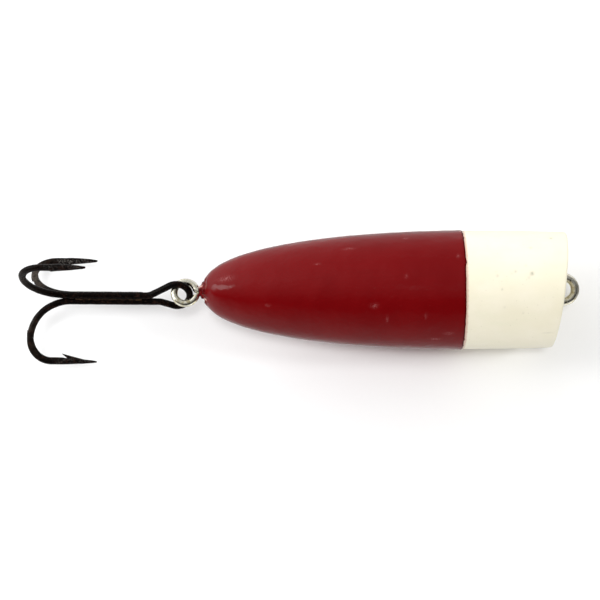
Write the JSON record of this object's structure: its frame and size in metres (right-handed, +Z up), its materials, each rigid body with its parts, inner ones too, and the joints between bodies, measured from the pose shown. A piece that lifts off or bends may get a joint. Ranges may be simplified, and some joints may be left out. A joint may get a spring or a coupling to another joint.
{
  "type": "topwater popper",
  "caption": "Topwater popper: turned wooden body with a cupped slanted face, two coats of paint, a screw eye at each end and a swinging treble hook.",
  "frame": {"origin": "centre of the line tie's ring, on the body's turning axis", "axes": "+X forward along the body's turning axis from the tail to the face, +Y to the left of the lure as it swims, +Z up with the face's upper lip leading"},
  "size_m": [0.1039, 0.0228, 0.0249],
  "materials": {
    "bare_wood": "turned, unfinished under the paint",
    "ivory_paint": "semi-gloss enamel, slightly yellowed, with pinholes and small dings",
    "red_paint": "semi-gloss dipped enamel with scuffs",
    "nickel_wire": "worn nickel plate",
    "bronzed_wire": "dark bronzed steel wire",
    "braze": "bronzed over with the hooks"
  },
  "bodies": {
    "popper": {"turned_wood_body": "bare_wood", "ivory_base_coat": "ivory_paint", "red_dip_coat": "red_paint", "line_tie_screw_eye": "nickel_wire", "tail_screw_eye": "nickel_wire"},
    "treble": {"eyed_double_hook": "bronzed_wire", "brazed_third_hook": "bronzed_wire", "braze_fillets": "braze"}
  },
  "joints": [
    {"name": "treble_swing", "type": "hinge", "parent": "popper", "child": "treble", "pos_m": [-0.07055, -0.0001, -0.00037], "axis": [0, 0.9613, -0.2756], "range_deg": [-124, 122]}
  ]
}
